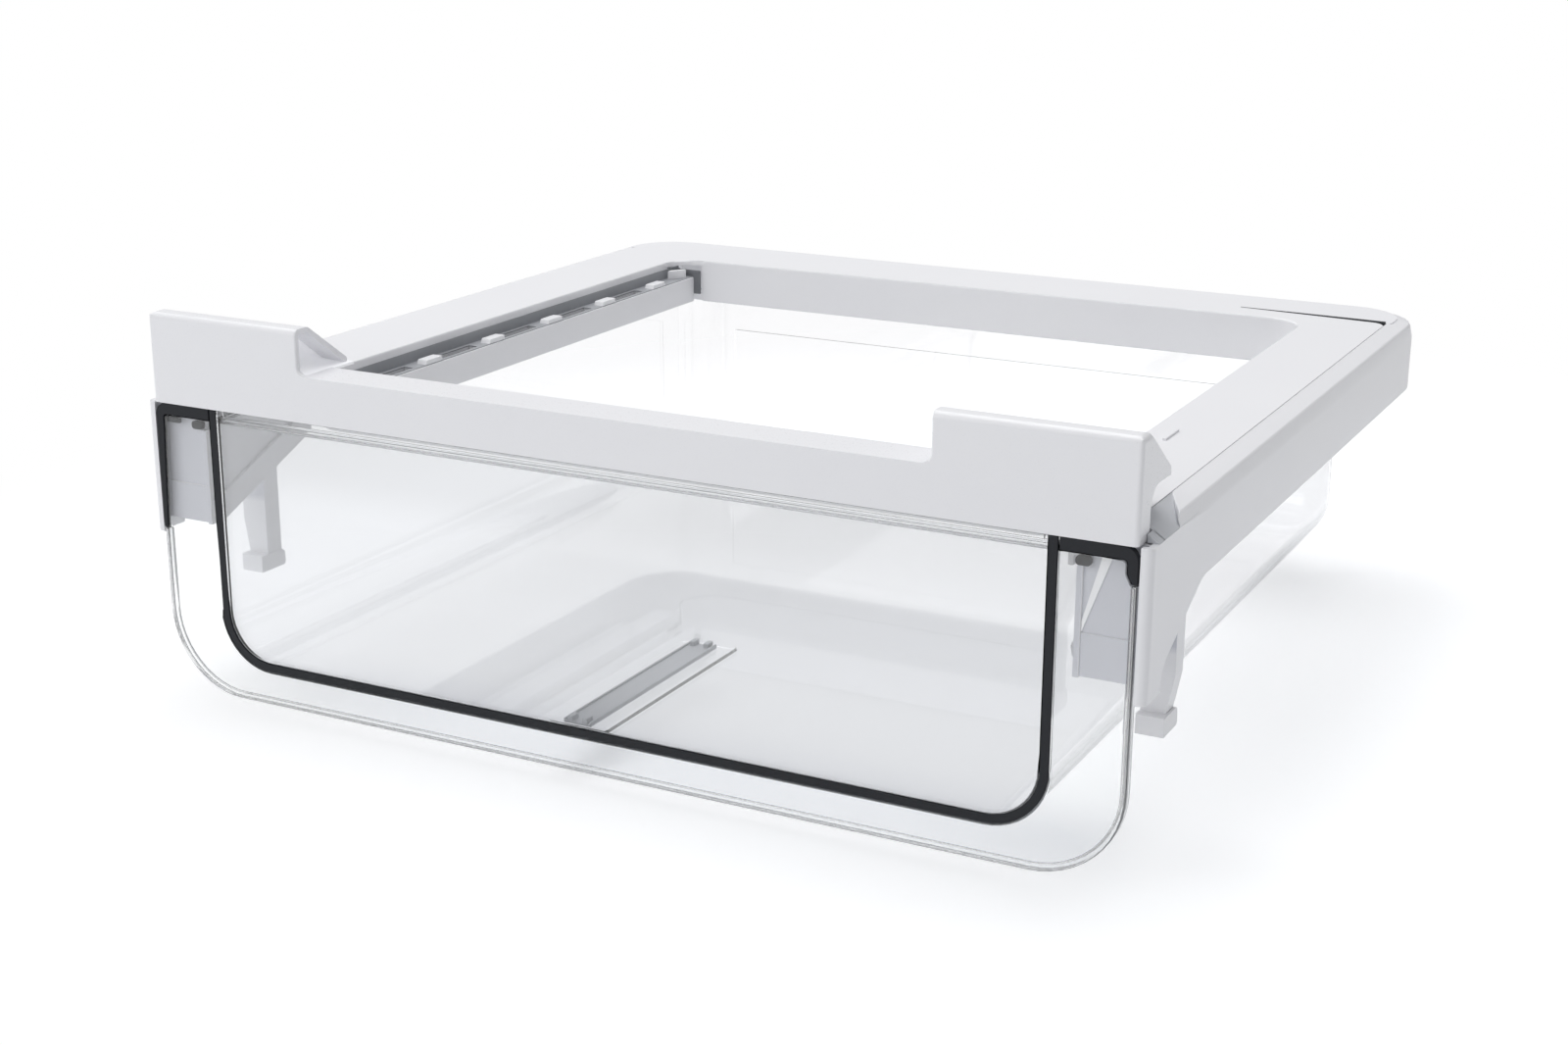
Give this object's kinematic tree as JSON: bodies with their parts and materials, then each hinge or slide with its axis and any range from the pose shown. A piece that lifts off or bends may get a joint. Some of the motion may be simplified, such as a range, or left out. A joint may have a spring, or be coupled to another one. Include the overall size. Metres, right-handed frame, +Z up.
{
  "type": "refrigerator drawer",
  "caption": "Clear refrigerator drawer with a white grip fascia, sliding in a white moulded shelf frame with a pane opening and bracket legs.",
  "frame": {"origin": "under the middle of the unit, in the plane of the front panel's lower edge", "axes": "+Z up, +Y from the front panel towards the back, +X to the viewer's right when facing the panel"},
  "size_m": [0.43, 0.4078, 0.1609],
  "materials": {
    "white_plastic": "satin",
    "clear_plastic": "gloss",
    "dark_trim": "matte",
    "dark_rubber": "matte",
    "grey_plastic": "satin"
  },
  "bodies": {
    "frame": {"shelf_frame": "white_plastic", "deck": "white_plastic", "pane_channel": "white_plastic", "pane_clip_1": "white_plastic", "pane_clip_2": "white_plastic", "pane_clip_3": "white_plastic", "pane_clip_4": "white_plastic", "pane_clip_5": "white_plastic", "corner_clip": "white_plastic", "rail_left": "white_plastic", "rail_right": "white_plastic", "bracket_left": "white_plastic", "bracket_right": "white_plastic"},
    "drawer": {"bin": "clear_plastic", "front_panel": "clear_plastic", "u_band": "dark_trim", "corner_strip_left": "dark_trim", "corner_strip_right": "dark_trim", "buffer_left": "dark_rubber", "buffer_right": "dark_rubber", "fascia": "white_plastic", "floor_strip": "grey_plastic"}
  },
  "joints": [
    {"name": "drawer_slide", "type": "slide", "parent": "frame", "child": "drawer", "axis": [0, -1, 0], "range_m": [0, 0.3]}
  ]
}
